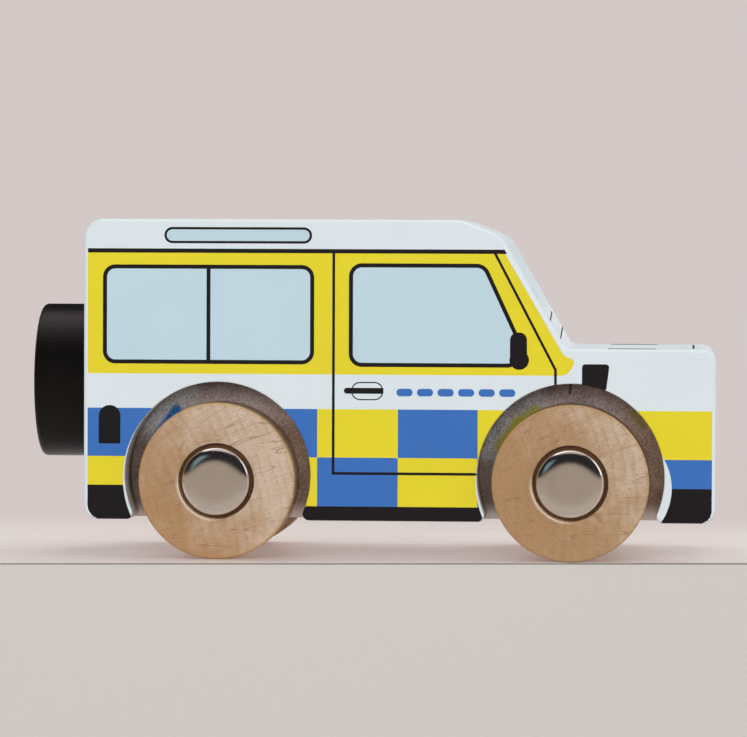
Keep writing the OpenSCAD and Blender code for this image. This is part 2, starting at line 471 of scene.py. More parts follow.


# bare beech of the wheels, with a dark ragged ring in the recess and a painted highlight below it
def makeBeech(name, plan):
    material, tree, shader = newMaterial(name)
    grain = useGroup(tree, beechGrain, {"Place": marked(tree, "woodPlace"), "Pith": plan["pith"],
                                        "Spacing": plan["spacing"]})
    colour = mixed(tree, grain["CloudAndShade"], plan["dark"], plan["light"])
    # the flecks show more on the pale part, which includes the painted-light side of the face
    shine = ramp(tree, grain["CloudAndShade"], 0.2, 0.9, 0.25 * plan["fleckDepth"], plan["fleckDepth"])
    marks = {"Ring": plan["ringDepth"], "Fleck": shine, "Ray": plan["rayDepth"], "Pore": plan["poreDepth"]}
    for title, depth in marks.items():
        colour = mixed(tree, times(tree, grain[title], depth), colour, plan[title.lower()])
    # a dark ragged ring round the recess, with a painted highlight on its lower left lip
    around = marked(tree, "hubPlace")
    end = plan["scorchEnd"]
    ragged = noise(tree, around, 1.3, 3.0, 0.65)
    edge = lengthOf(tree, sideView(tree, around))
    edge = timesPlus(tree, minus(tree, ragged, 0.5), plan["ragged"], edge)
    recessColour = mixed(tree, ragged, plan["burntDark"], plan["burntLight"])
    parts = axesOf(tree, around)
    lower = timesPlus(tree, parts["Z"], -0.66, times(tree, parts["X"], -0.75))
    # painted highlight: a pale patch on the lower left lip of the recess, where light catches it
    torn = times(tree, ramp(tree, lower, 4.0, 7.2), ramp(tree, edge, end + 0.85, end + 0.25))
    colour = mixed(tree, times(tree, torn, plan["torn"]), colour, plan["fibre"])
    colour = mixed(tree, ramp(tree, edge, end + 0.1, end - 0.08), colour, recessColour)
    feed(tree, shader.inputs, {
        "Base Color": colour,
        "Roughness": timesPlus(tree, grain["Pore"], 0.16, 0.54),
        "Specular IOR Level": 0.3,
        "Normal": bump(tree, grain["Height"], plan["relief"], 0.0001)})
    return material


beechBase = {
    "pith": (-50.0, 0.0, -17.0),
    "spacing": 2.0,
    "light": (0.590, 0.455, 0.345),
    "dark": (0.405, 0.232, 0.108),
    "ring": (0.330, 0.190, 0.100),
    "ray": (0.270, 0.140, 0.075),
    "fleck": (0.640, 0.510, 0.400),
    "pore": (0.260, 0.140, 0.070),
    "ringDepth": 0.34,
    "rayDepth": 0.6,
    "fleckDepth": 0.46,
    "poreDepth": 0.56,
    "scorchEnd": 7.5,
    "ragged": 0.4,
    "burntDark": (0.095, 0.038, 0.014),
    "burntLight": (0.210, 0.100, 0.044),
    "fibre": (0.720, 0.580, 0.420),
    "torn": 0.9,
    "relief": 0.35,
}
# the rounded edge and the tread take darker, warmer copies of the face wood: painted shade where they turn
# from the light and sit in the pocket
addMaterials(makeBeech, {
    "wheelFace": beechBase,
    "wheelEdge": {**beechBase, "light": (0.550, 0.380, 0.200), "dark": (0.420, 0.240, 0.100), "torn": 0.0},
    "wheelRim": {**beechBase, "light": (0.450, 0.310, 0.190), "dark": (0.350, 0.215, 0.112), "torn": 0.0,
                 "poreDepth": 0.4},
})


# metals, with turned rings or drawn lines
def makeMetal(name, plan):
    material, tree, shader = newMaterial(name)
    place = objectPlace(tree)
    if "rings" in plan:
        reach = lengthOf(tree, sideView(tree, marked(tree, "hubPlace")))
        lines = vectorOf(tree, times(tree, reach, plan["rings"]))
    else:
        lines = vectorNode(tree, "MULTIPLY", place, plan["lines"])
    skin = useGroup(tree, metalSkin, {"Place": place, "Lines": lines, "Colour": plan["colour"],
                                      "Polish": plan["polish"], "Tarnish": plan["tarnish"]})
    feed(tree, shader.inputs, {
        "Base Color": skin["Colour"],
        "Roughness": skin["Roughness"],
        "Metallic": 1.0,
        "Normal": bump(tree, skin["Height"], plan["relief"], 0.00002)})
    return material


addMaterials(makeMetal, {
    "capSteel": {"colour": (0.74, 0.71, 0.68), "polish": 0.11, "tarnish": 0.05, "relief": 0.04, "rings": 9.0},
    "axleSteel": {"colour": (0.56, 0.55, 0.54), "polish": 0.24, "tarnish": 0.2, "relief": 0.25,
                  "lines": (2600.0, 40.0, 2600.0)},
    "gripSteel": {"colour": (0.44, 0.43, 0.42), "polish": 0.3, "tarnish": 0.25, "relief": 0.25,
                  "lines": (1800.0, 300.0, 1800.0)},
})
print("materials made", len(materials))


# flat shapes with round corners, as points with outward normals, running anticlockwise
arcStep = 0.35  # longest chord on a round corner


def turned(v, angle):
    c = math.cos(angle)
    s = math.sin(angle)
    return Vector((c * v.x - s * v.y, s * v.x + c * v.y))


def arcRun(centre, radius, startNormal, turn):
    # a hollow arc turns its normals clockwise
    count = max(3, math.ceil(abs(turn) * radius / arcStep))
    reach = radius if turn > 0 else -radius
    run = []
    for i in range(count + 1):
        normal = turned(startNormal, turn * i / count)
        run.append((centre + normal * reach, normal))
    return run


def cornerRun(before, at, after, radius):
    inward = (at - before).normalized()
    outward = (after - at).normalized()
    turn = -inward.angle_signed(outward)  # angle_signed counts clockwise
    normal = Vector((inward.y, -inward.x))
    start = at - inward * radius * math.tan(abs(turn) / 2)
    centre = start - normal * radius if turn > 0 else start + normal * radius
    return arcRun(centre, radius, normal, turn)


def mitre(before, after, reach):
    # the step to the left where two directions meet
    n1 = Vector((-before.y, before.x))
    n2 = Vector((-after.y, after.x))
    return (n1 + n2) * reach / (1.0 + n1.dot(n2))


def areaOf(points):
    total = 0.0
    for a, b in zip(points, points[1:] + points[:1]):
        total += a.x * b.y - b.x * a.y
    return total / 2


def anticlockwise(corners):
    places = [Vector(c[:2]) for c in corners]
    return list(corners) if areaOf(places) > 0 else list(reversed(corners))


def roundedShape(corners):
    # corners are (x, y, radius)
    corners = anticlockwise(corners)
    places = [Vector(c[:2]) for c in corners]
    shape = []
    for i, at in enumerate(places):
        radius = corners[i][2]
        if radius == 0:
            shape.append(at)
            continue
        after = places[(i + 1) % len(places)]
        shape += [p for p, n in cornerRun(places[i - 1], at, after, radius)]
    return shape


def insetCorners(corners, inset):
    corners = anticlockwise(corners)
    places = [Vector(c[:2]) for c in corners]
    moved = []
    for i, at in enumerate(places):
        before = (at - places[i - 1]).normalized()
        after = (places[(i + 1) % len(places)] - at).normalized()
        spot = at + mitre(before, after, inset)
        moved.append((spot.x, spot.y, max(corners[i][2] - inset, 0.0)))
    return moved


def box(low, high, radius=0.0):
    x0, y0 = low
    x1, y1 = high
    return [(x0, y0, radius), (x1, y0, radius), (x1, y1, radius), (x0, y1, radius)]


def disc(x, y, radius):
    count = max(16, math.ceil(math.tau * radius / arcStep))
    spoke = Vector((radius, 0))
    return [Vector((x, y)) + turned(spoke, math.tau * i / count) for i in range(count)]


def stroke(points, width):
    # a line of even width along a few points
    places = [Vector(p) for p in points]
    ways = [(b - a).normalized() for a, b in zip(places, places[1:])]
    leftSide = []
    rightSide = []
    for i, at in enumerate(places):
        side = mitre(ways[max(i - 1, 0)], ways[min(i, len(ways) - 1)], width / 2)
        leftSide.append(at + side)
        rightSide.append(at - side)
    return rightSide + leftSide[::-1]


def insidePolygon(p, polygon):
    inside = False
    for a, b in zip(polygon, polygon[1:] + polygon[:1]):
        if (a.y > p.y) != (b.y > p.y) and p.x < a.x + (b.x - a.x) * (p.y - a.y) / (b.y - a.y):
            inside = not inside
    return inside


# a list of (polygon, ink) for one face, in which later inks cover earlier ones
class Prints(list):
    def addShape(self, ink, corners):
        self.append((roundedShape(corners), ink))

    def addBox(self, ink, low, high, radius=0.0):
        self.addShape(ink, box(low, high, radius))

    def addDisc(self, ink, x, y, radius):
        self.append((disc(x, y, radius), ink))

    def addLine(self, points, width):
        self.append((stroke(points, width), "inkBlack"))

    def addWindow(self, corners, line):
        self.addShape("inkBlack", corners)
        self.addShape("inkGlass", insetCorners(corners, line))


# collects a mesh whose corners carry their own normals
class Shell:
    def __init__(self):
        self.verts = []
        self.faces = []
        self.normals = []
        self.inks = []
        self.marks = {}  # named vectors of the points, in millimetres

    def vert(self, x, y, z):
        self.verts.append((x * mm, y * mm, z * mm))
        return len(self.verts) - 1

    def face(self, ids, normals, ink):
        a, b, c = (Vector(self.verts[i]) for i in ids[:3])
        facing = (b - a).cross(c - a)
        if len(ids) > 3:
            facing += (c - a).cross(Vector(self.verts[ids[3]]) - a)
        total = sum(normals, Vector((0, 0, 0)))
        if facing.dot(total) < 0:
            ids = ids[::-1]
            normals = normals[::-1]
        self.faces.append(list(ids))
        self.normals += list(normals)
        self.inks.append(ink)

    def build(self, name):
        mesh = bpy.data.meshes.new(name)
        mesh.from_pydata(self.verts, [], self.faces)
        names = list(dict.fromkeys(self.inks))
        for ink in names:
            mesh.materials.append(materials[ink])
        mesh.polygons.foreach_set("material_index", [names.index(i) for i in self.inks])
        mesh.polygons.foreach_set("use_smooth", [True] * len(self.faces))
        for title, vectors in self.marks.items():
            layer = mesh.attributes.new(title, "FLOAT_VECTOR", "POINT")
            layer.data.foreach_set("vector", [value for v in vectors for value in v])
        mesh.normals_split_custom_set([tuple(n) for n in self.normals])
        mesh.validate(clean_customdata=False)
        return addObject(name, mesh)


def paintFlat(shell, border, limit, toSpace, normal, inks, edgeInk=lambda p: "bodyPaint"):
    # border is (vertex, flat place) and limit is how far the print may reach
    # an ink named None is a hole, and the points of the holes' edges are returned
    tiny = 1e-5
    points = []
    loops = []
    for polygon in [limit] + [ink[0] for ink in inks]:
        loops.append(list(range(len(points), len(points) + len(polygon))))
        points += polygon
    spots, _, tris, origins, _, owners = delaunay_2d_cdt(points, [], loops, 1, tiny, True)
    ids = {}
    edgeUse = {}
    for tri, own in zip(tris, owners):
        if 0 not in own:
            continue
        top = max(own)
        ink = inks[top - 1][1] if top else "bodyPaint"
        for v in tri:
            if v not in ids:
                ids[v] = shell.vert(*toSpace(spots[v]))
        for a, b in zip(tri, list(tri[1:]) + [tri[0]]):
            key = (min(a, b), max(a, b))
            edgeUse[key] = edgeUse.get(key, 0) + 1
        if ink is not None:
            shell.face([ids[v] for v in tri], [normal] * 3, ink)
    # a strip of triangles joins the print's rim to the border
    rimEdges = [e for e, n in edgeUse.items() if n == 1]
    rimVerts = sorted({v for e in rimEdges for v in e})
    edge = [p for _, p in border]
    ringPoints = edge + [spots[v] for v in rimVerts]
    ringIds = [v for v, _ in border] + [ids[v] for v in rimVerts]
    seat = {v: len(edge) + i for i, v in enumerate(rimVerts)}
    ringEdges = [(i, (i + 1) % len(edge)) for i in range(len(edge))]
    ringEdges += [(seat[a], seat[b]) for a, b in rimEdges]
    ringSpots, _, ringTris, ringOrigins, _, _ = delaunay_2d_cdt(ringPoints, ringEdges, [], 0, tiny, True)
    for tri in ringTris:
        middle = sum((ringSpots[v] for v in tri), Vector((0, 0))) / 3
        if insidePolygon(middle, edge) and not insidePolygon(middle, limit):
            shell.face([ringIds[ringOrigins[v][0]] for v in tri], [normal] * 3, edgeInk(middle))
    whereIs = {i: v for v, own in enumerate(origins) for i in own}
    holes = [loop for loop, ink in zip(loops[1:], inks) if ink[1] is None]
    return [[ids[whereIs[i]] for i in loop] for loop in holes]


# the body block
bodyShape = {
    "bonnetHeight": 34.6,
    "bonnetLength": 29.9,
    "screenLean": math.radians(30.0),
    "browLength": 8.0,
    "browDrop": 3.0,
    "edge": 0.7,
    "rearTopRound": 3.8,
    "frontTopRound": 2.9,
    "bottomRound": 2.7,
    "browRound": 5.0,
    "footRound": 2.2,
    "pocketGap": 3.0,
    "pocketLift": 1.1,
    "pocketDepth": 10.5,
    "pocketEdge": 0.25,
    "mouthRound": 1.3,
    "rimSteps": 6,
    "printInset": 0.04,
    "boreR": 2.58,
    "boreSides": 40,
    "floorLow": 2.4,
}
halfWidth = highBody.y
bottomZ = lowBody.z
roofZ = highBody.z
bonnetZ = bottomZ + bodyShape["bonnetHeight"]
footX = highBody.x - bodyShape["bonnetLength"]
browZ = roofZ - bodyShape["browDrop"]
browX = footX - (browZ - bonnetZ) * math.tan(bodyShape["screenLean"])
pocketY = halfWidth - bodyShape["pocketDepth"]
pocketR = wheelR + bodyShape["pocketGap"]
pocketZ = hubZ + bodyShape["pocketLift"]


def bodyOutline(plan):
    # ring of (place, normal, rim rounding), and the name of the stretch after each place
    ring = []
    names = []

    def add(run, name, nextName, rims):
        for i, (place, normal) in enumerate(run):
            ring.append((place, normal, rims(i / (len(run) - 1))))
            names.append(name if i < len(run) - 1 else nextName)

    def pocket(hubX):
        mouth = plan["mouthRound"]
        wide = plan["edge"]
        thin = plan["pocketEdge"]
        centre = Vector((hubX, pocketZ))
        rise = pocketZ - (bottomZ + mouth)
        reach = math.sqrt((pocketR + mouth) ** 2 - rise ** 2)
        turn = math.pi / 2 + math.atan2(rise, reach)
        first = arcRun(Vector((hubX - reach, bottomZ + mouth)), mouth, Vector((0, -1)), turn)
        arch = arcRun(centre, pocketR, first[-1][1], -2 * turn)
        last = arcRun(Vector((hubX + reach, bottomZ + mouth)), mouth, arch[-1][1], turn)
        add(first[:-1], "notch", "notch", lambda t: wide + (thin - wide) * t)
        add(arch, "notch", "notch", lambda t: thin)
        add(last[1:], "notch", "underside", lambda t: thin + (wide - thin) * t)

    corners = [
        (lowBody.x, bottomZ, plan["bottomRound"], "underside"),
        (highBody.x, bottomZ, plan["bottomRound"], "front"),
        (highBody.x, bonnetZ, plan["frontTopRound"], "bonnet"),
        (footX, bonnetZ, plan["footRound"], "screen"),
        (browX, browZ, plan["browRound"], "brow"),
        (browX - plan["browLength"], roofZ, plan["browRound"], "roof"),
        (lowBody.x, roofZ, plan["rearTopRound"], "rear"),
    ]
    places = [Vector(c[:2]) for c in corners]
    for i, (_, _, radius, nextName) in enumerate(corners):
        run = cornerRun(places[i - 1], places[i], places[(i + 1) % len(places)], radius)
        add(run, "corner", nextName, lambda t: plan["edge"])
        if nextName == "underside":
            pocket(hubs["rear"])
            pocket(hubs["front"])
    return ring, names


# the printed livery of the sides, in millimetres along the car and above the ground
livery = {
    "rearEnd": -56.6,
    "frontEnd": 68.25,
    "gutter": (61.18, 62.03),
    "gutterEnds": (27.6, 27.1),
    "slot": ((-41.19, 63.09), (-11.54, 66.34)),
    "slotLine": 0.48,
    "yellowLow": 37.01,
    "yellowRound": 0.3,
    "yellowNose": [(39.7, 37.01, 2.6), (41.06, 40.1, 0.8), (38.78, 40.95, 2.2), (27.0, 61.18, 0)],
    "rearWindow": ((-53.54, 38.98), (-11.07, 58.82)),
    "windowLine": 0.82,
    "windowRound": 2.5,
    "divider": (-32.68, -31.89),
    "doorX": -7.18,
    "doorLow": 17.26,
    "doorLine": 0.55,
    "doorWindow": [(-4.13, 38.56, 2.6), (32.68, 38.56, 3.4), (23.12, 59.22, 2.8), (-4.13, 59.22, 2.6)],
    "pillar": [(24.75, 61.8), (36.55, 39.25), (37.13, 38.1), (37.13, 33.0)],
    "pillarLine": 0.53,
    "checkX": (-10.39, 5.75, 21.68),
    "checkZ": (20.42, 30.1),
    "checkTuck": 0.3,
    "bumperTop": 14.65,
    "rearBumperRound": 2.9,
    "frontBumperRound": 2.6,
    "sillTop": 10.65,
    "sillGap": 17.4,
    "sillRound": 1.2,
    "margins": {"rear": (0.25, -0.6, 0.65), "front": (0.5, -0.9, 0.75)},
    "wingMargin": (8.3, -2.1, 11.8),
    "mirror": ((28.05, 39.0), (31.44, 45.58), 1.5),
    "mirrorFoot": (29.9, 40.1, 1.95),
    "handle": ((-3.64, 31.91), (2.84, 35.57), 1.82),
    "handleLine": 0.24,
    "handleBar": [(-5.09, 33.2, 0.58), (2.84, 33.2, 0.15), (2.84, 34.37, 0.15), (-5.09, 34.37, 0.58)],
    "flap": [(-54.35, 22.91, 0.3), (-49.97, 22.91, 0.3), (-49.97, 30.63, 2.15), (-54.35, 30.63, 2.15)],
    "vent": [(42.38, 32.5, 0), (47.0, 32.5, 0), (47.88, 39.33, 0.65), (42.38, 39.33, 0.65)],
}


def sideInks(plan):
    rearEnd = plan["rearEnd"]
    frontEnd = plan["frontEnd"]
    rearHub = hubs["rear"]
    frontHub = hubs["front"]
    inks = Prints()
    low, high = plan["gutter"]
    lowEnd, highEnd = plan["gutterEnds"]
    inks.addShape("inkYellow", [(rearEnd, plan["yellowLow"], plan["yellowRound"]), *plan["yellowNose"],
                                (rearEnd, low, 0)])
    inks.addShape("inkBlack", [(rearEnd, low, 0), (lowEnd, low, 0), (highEnd, high, 0), (rearEnd, high, 0)])
    low, high = plan["slot"]
    inks.addWindow(box(low, high, (high[1] - low[1]) / 2 - 0.01), plan["slotLine"])
    # two rows of checks
    checks = [rearEnd, *plan["checkX"], frontEnd]
    middle, top = plan["checkZ"]
    for i, (x0, x1) in enumerate(zip(checks, checks[1:])):
        upper, lower = ("inkBlue", "inkYellow") if i % 2 == 0 else ("inkYellow", "inkBlue")
        inks.addBox(upper, (x0, middle), (x1, top))
        inks.addBox(lower, (x0, plan["sillTop"] - plan["checkTuck"]), (x1, middle))
    # bumpers and sill
    top = plan["bumperTop"]
    inks.addShape("inkBlack", [(rearEnd, bottomZ, plan["rearBumperRound"]), (rearHub, bottomZ, 0),
                               (rearHub, top, 0), (rearEnd, top, 0)])
    inks.addShape("inkBlack", [(frontHub, bottomZ, 0), (frontEnd, bottomZ, plan["frontBumperRound"]),
                               (frontEnd, top, 0), (frontHub, top, 0)])
    top = plan["sillTop"]
    sillEnd = frontHub - plan["sillGap"]
    inks.addShape("inkBlack", [(rearHub, bottomZ, 0), (sillEnd, bottomZ, plan["sillRound"]),
                               (sillEnd, top, 0), (rearHub, top, 0)])
    # white margins behind the wheel arches and in front of the front one
    for title, (x, z, grow) in plan["margins"].items():
        ring = disc(hubs[title] + x, pocketZ + z, pocketR + grow)
        inks.append(([p for p in ring if p.x < hubs[title]], "bodyPaint"))
    x, z, radius = plan["wingMargin"]
    inks.addDisc("bodyPaint", frontHub + x, pocketZ + z, radius)
    # windows
    low, high = plan["rearWindow"]
    half = plan["windowLine"] / 2
    inks.addWindow(box(low, high, plan["windowRound"]), plan["windowLine"])
    left, right = plan["divider"]
    inks.addBox("inkBlack", (left, low[1] + half), (right, high[1] - half))
    inks.addWindow(plan["doorWindow"], plan["windowLine"])
    # door seams
    door = (plan["doorX"], plan["doorLow"])
    inks.addLine([(door[0], plan["gutter"][0]), door, (frontHub, door[1])], plan["doorLine"])
    inks.addLine(plan["pillar"], plan["pillarLine"])
    # mirror, door handle, fuel flap and wing vent
    inks.addBox("inkBlack", *plan["mirror"])
    inks.addDisc("inkBlack", *plan["mirrorFoot"])
    handle = box(*plan["handle"])
    inks.addShape("inkBlack", handle)
    inks.addShape("bodyPaint", insetCorners(handle, plan["handleLine"]))
    for title in ("handleBar", "flap", "vent"):
        inks.addShape("inkBlack", plan[title])
    return inks


# prints of the ends, bonnet and windscreen, as places across the car and along each face
endPrints = {
    "lampY": 17.6,
    "lampZ": 27.2,
    "lampRings": {"inkBlack": 4.7, "inkHaze": 3.95, "bodyPaint": 2.7},
    "signalZ": 19.2,
    "signalRings": {"inkBlack": 2.0, "inkOrange": 1.5},
    "grille": ((-11.4, 20.2), (11.4, 33.4)),
    "grilleRims": [("inkBlack", 0.0, 1.6), ("inkGrey", 0.6, 1.0), ("inkBlack", 1.3, 0.5)],
    "window": ((-18.6, 40.2), (18.6, 59.0)),
    "tailY": (19.4, 23.0),
    "tailZ": (21.0, 27.4, 32.6),
    "tailRim": 0.5,
    "screen": ((-20.6, 9.4), (20.6, 25.2), 2.2),
    "wipers": [[(13.7, 7.94), (-19.0, 6.46)], [(24.0, 4.08), (-20.5, 2.25)]],
    "wiperLine": 0.42,
    "bonnetPanel": ((18.2, 47.3), (23.4, 57.0)),
    "panelRound": 0.6,
    "bonnetSeam": [(-17.5, 64.5), (17.5, 64.5)],
    "seamLine": 0.4,
}


def frontInks(plan):
    inks = Prints()
    inks.addBox("inkBlack", (-halfWidth, bottomZ), (halfWidth, livery["bumperTop"]))
    (y0, z0), (y1, z1) = plan["grille"]
    for ink, inset, radius in plan["grilleRims"]:
        inks.addBox(ink, (y0 + inset, z0 + inset), (y1 - inset, z1 - inset), radius)
    for side in sides.values():
        for height, rings in (("lampZ", "lampRings"), ("signalZ", "signalRings")):
            for ink, radius in plan[rings].items():
                inks.addDisc(ink, side * plan["lampY"], plan[height], radius)
    return inks


def rearInks(plan):
    inks = Prints()
    inks.addBox("inkBlack", (-halfWidth, bottomZ), (halfWidth, livery["bumperTop"]))
    inks.addWindow(box(*plan["window"], livery["windowRound"]), livery["windowLine"])
    low, middle, high = plan["tailZ"]
    near, far = plan["tailY"]
    rim = plan["tailRim"]
    for side in sides.values():
        y0, y1 = sorted((side * near, side * far))
        inks.addBox("inkBlack", (y0, low), (y1, high), 2 * rim)
        inks.addBox("inkRed", (y0 + rim, low + rim), (y1 - rim, middle - rim / 2), rim)
        inks.addBox("inkOrange", (y0 + rim, middle + rim / 2), (y1 - rim, high - rim), rim)
    return inks


def screenInks(plan):
    inks = Prints()
    inks.addBox("inkHaze", *plan["screen"])
    for line in plan["wipers"]:
        inks.addLine(line, plan["wiperLine"])
    return inks


def bonnetInks(plan):
    inks = Prints()
    low, high = plan["bonnetPanel"]
    for side in sides.values():
        near, far = sorted((side * low[0], side * high[0]))
        inks.addBox("inkBlack", (near, low[1]), (far, high[1]), plan["panelRound"])
    inks.addLine(plan["bonnetSeam"], plan["seamLine"])
    return inks


# each printed face as an origin in the side view, a direction along it and its inks
foot = Vector((footX, bonnetZ))
faces = {
    "front": (Vector((highBody.x, 0)), Vector((0, 1)), frontInks(endPrints)),
    "rear": (Vector((lowBody.x, 0)), Vector((0, 1)), rearInks(endPrints)),
    "bonnet": (Vector((0, bonnetZ)), Vector((1, 0)), bonnetInks(endPrints)),
    "screen": (foot, (Vector((browX, browZ)) - foot).normalized(), screenInks(endPrints)),
}


# one printed side with its rounded rim, returns the loop where the rim meets the walls
def makeSide(shell, plan, ring, wide, side):
    inks = sideInks(livery)
    count = len(ring)
    steps = plan["rimSteps"]
    across = Vector((0, side, 0))
    angles = [math.pi / 2 * k / steps for k in range(steps + 1)]
    loops = []

    def inkAt(p):
        # the print runs over the rounded edge
        found = "bodyPaint"
        for polygon, ink in inks:
            if insidePolygon(p, polygon):
                found = ink
        return found

    for angle in angles:
        loop = []
        for p, n, e in ring:
            q = p - n * e * (1 - math.cos(angle))
            loop.append(shell.vert(q.x, side * (halfWidth - e * (1 - math.sin(angle))), q.y))
        loops.append(loop)
    for k in range(steps):
        a0, a1 = angles[k:k + 2]
        for i in range(count):
            j = (i + 1) % count
            normals = [wide[v] * math.cos(a) + across * math.sin(a)
                       for v, a in ((i, a0), (j, a0), (j, a1), (i, a1))]
            ids = [loops[k][i], loops[k][j], loops[k + 1][j], loops[k + 1][i]]
            spots = [Vector(shell.verts[v]) / mm for v in ids]
            middle = sum(spots, Vector((0, 0, 0))) / 4
            shell.face(ids, normals, inkAt(Vector((middle.x, middle.z))))
    border = []
    limit = []
    for i, (p, n, e) in enumerate(ring):
        border.append((loops[steps][i], p - n * e))
        limit.append(p - n * (e + plan["printInset"]))
    paintFlat(shell, border, limit, lambda q: (q.x, side * halfWidth, q.y), across, inks, inkAt)
    return loops[0]


# walls across the car, printed where they are one of the faces
def makeWalls(shell, plan, ring, names, wide, levels):
    inset = plan["printInset"]
    for i in range(len(ring)):
        j = (i + 1) % len(ring)
        if names[i] in faces:
            origin, way, prints = faces[names[i]]
            flat = {}
            for v in (i, j):
                reach = halfWidth - ring[v][2]
                for k, y in enumerate((reach, pocketY, -pocketY, -reach)):
                    flat[v, k] = Vector((y, (ring[v][0] - origin).dot(way)))
            order = [(i, k) for k in range(4)] + [(j, k) for k in (3, 2, 1, 0)]
            border = [(levels[k][v], flat[v, k]) for v, k in order]
            lows = [min(p[c] for p in flat.values()) + inset for c in (0, 1)]
            highs = [max(p[c] for p in flat.values()) - inset for c in (0, 1)]

            def toSpace(q):
                p = origin + way * q.y
                return (p.x, q.x, p.y)

            paintFlat(shell, border, roundedShape(box(lows, highs)), toSpace, wide[i], prints)
            continue
        bands = (0, 1, 2)
        ink = "bodyPaint"
        if names[i] == "notch":
            bands = (0, 2)
            ink = "pocketRear" if ring[i][0].x < 0 else "pocketFront"
        for b in bands:
            ids = [levels[b][i], levels[b][j], levels[b + 1][j], levels[b + 1][i]]
            shell.face(ids, [wide[i], wide[j], wide[j], wide[i]], ink)


# pocket floors with the axle bores, and the underside between them
def makeFloors(shell, plan, ring, names, levels):
    starts = [i for i in range(len(ring)) if names[i] == "notch" and names[i - 1] != "notch"]
    for first, title in zip(starts, ("rear", "front")):
        last = first
        while names[last] == "notch":
            last += 1
        corners = [levels[1][first], levels[1][last], levels[2][last], levels[2][first]]
        shell.face(corners, [Vector((0, 0, -1))] * 4, "bodyPaint")
        hubX = hubs[title]
        hub = Vector((hubX, hubZ))
        spoke = Vector((plan["boreR"], 0))
        bore = [hub + turned(spoke, math.tau * k / plan["boreSides"]) for k in range(plan["boreSides"])]
        coat = "pocket" + title.title()
        limit = disc(hubX, pocketZ, pocketR - plan["printInset"])
        limit = [p for p in limit if p.y > bottomZ + plan["floorLow"]]
        limit.sort(key=lambda p: math.atan2(p.x - hubX, pocketZ - p.y))
        ends = []
        for side, level in ((1, levels[1]), (-1, levels[2])):
            border = [(level[i], ring[i][0]) for i in range(first, last + 1)]
            ends += paintFlat(shell, border, limit, lambda q: (q.x, side * pocketY, q.y),
                              Vector((0, side, 0)), [(limit, coat), (bore, None)], lambda p: coat)
        for k in range(len(bore)):
            m = (k + 1) % len(bore)
            into = [(hub - bore[v]).normalized() for v in (k, m)]
            normals = [Vector((into[v].x, 0, into[v].y)) for v in (0, 1, 1, 0)]
            shell.face([ends[0][k], ends[0][m], ends[1][m], ends[1][k]], normals, "bodyPaint")


def makeBody(plan):
    ring, names = bodyOutline(plan)
    shell = Shell()
    wide = [Vector((n.x, 0, n.y)) for _, n, _ in ring]
    levels = [[], [], [], []]  # left rim, left pocket floor, right pocket floor, right rim
    for p, _, _ in ring:
        levels[1].append(shell.vert(p.x, pocketY, p.y))
        levels[2].append(shell.vert(p.x, -pocketY, p.y))
    levels[0] = makeSide(shell, plan, ring, wide, 1)
    levels[3] = makeSide(shell, plan, ring, wide, -1)
    makeWalls(shell, plan, ring, names, wide, levels)
    makeFloors(shell, plan, ring, names, levels)
    return shell.build("carBody")


carBody = makeBody(bodyShape)
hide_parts("body_block")
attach(carBody, "car_body")
print("body made", len(carBody.data.polygons))


# turned pieces: a closed section of (radius, height) spun about an axle
class Section:
    def __init__(self, start):
        self.at = Vector(start)
        self.steps = []

    def line(self, x, y, ink, parts=1):
        # the outside is on the right of the way
        end = Vector((x, y))
        way = (end - self.at).normalized()
        normal = Vector((way.y, -way.x))
        run = [(self.at.lerp(end, k / parts), normal) for k in range(parts + 1)]
        self.curve(run, ink)

    def bow(self, centre, angle, count, ink):
        # turns about the centre, anticlockwise bulges outward
        centre = Vector(centre)
        spoke = self.at - centre
        sign = 1.0 if angle > 0 else -1.0
        spokes = [turned(spoke, angle * k / count) for k in range(count + 1)]
        self.curve([(centre + s, s.normalized() * sign) for s in spokes], ink)

    def curve(self, run, ink):
        # run is (place, normal)
        for (a, na), (b, nb) in zip(run, run[1:]):
            self.steps.append((a, na, b, nb, ink))
        self.at = run[-1][0]


def spin(section, count, toSpace, toWay, local=None):
    shell = Shell()
    rings = {}
    marks = {"hubPlace": [], "woodPlace": []}

    def ringOf(p):
        key = (round(p.x, 5), round(p.y, 5))
        if key not in rings:
            angles = [0.0] if key[0] == 0 else [math.tau * k / count for k in range(count)]
            rings[key] = [shell.vert(*toSpace(p.x, p.y, a)) for a in angles]
            for a in angles:
                spot = Vector((p.x * math.cos(a), p.y, p.x * math.sin(a)))
                marks["hubPlace"].append(spot)
                marks["woodPlace"].append(local @ spot if local else spot)
        return rings[key]

    for a, na, b, nb, ink in section.steps:
        first = ringOf(a)
        second = ringOf(b)
        for k in range(count):
            m = (k + 1) % count
            a0 = math.tau * k / count
            a1 = math.tau * (k + 1) / count
            corners = []
            for ids, n, pairs in ((first, na, ((k, a0), (m, a1))), (second, nb, ((m, a1), (k, a0)))):
                if len(ids) == 1:
                    corners.append((ids[0], toWay(n, (a0 + a1) / 2)))
                    continue
                corners += [(ids[v], toWay(n, angle)) for v, angle in pairs]
            shell.face([c[0] for c in corners], [c[1] for c in corners], ink)
    shell.marks = marks
    return shell


# the four wheels, as cut slices of a beech rod
wheelShape = {
    "edge": 0.45,
    "boreR": 2.58,
    "recessR": 7.58,
    "capGap": 0.3,
    "lip": 0.1,
    "sides": 144,
    "turns": {"rear_right": 0.0, "front_right": -5.0, "rear_left": 205.0, "front_left": 118.0},
    # the front right wheel's shift also darkens it through the painted shade of the grain's straight ramp
    "shifts": {"rear_right": (0.0, 0.0, 0.0), "front_right": (-6.0, 40.0, -6.0),
               "rear_left": (-4.0, 90.0, 3.0), "front_left": (2.0, 130.0, -5.0)},
}


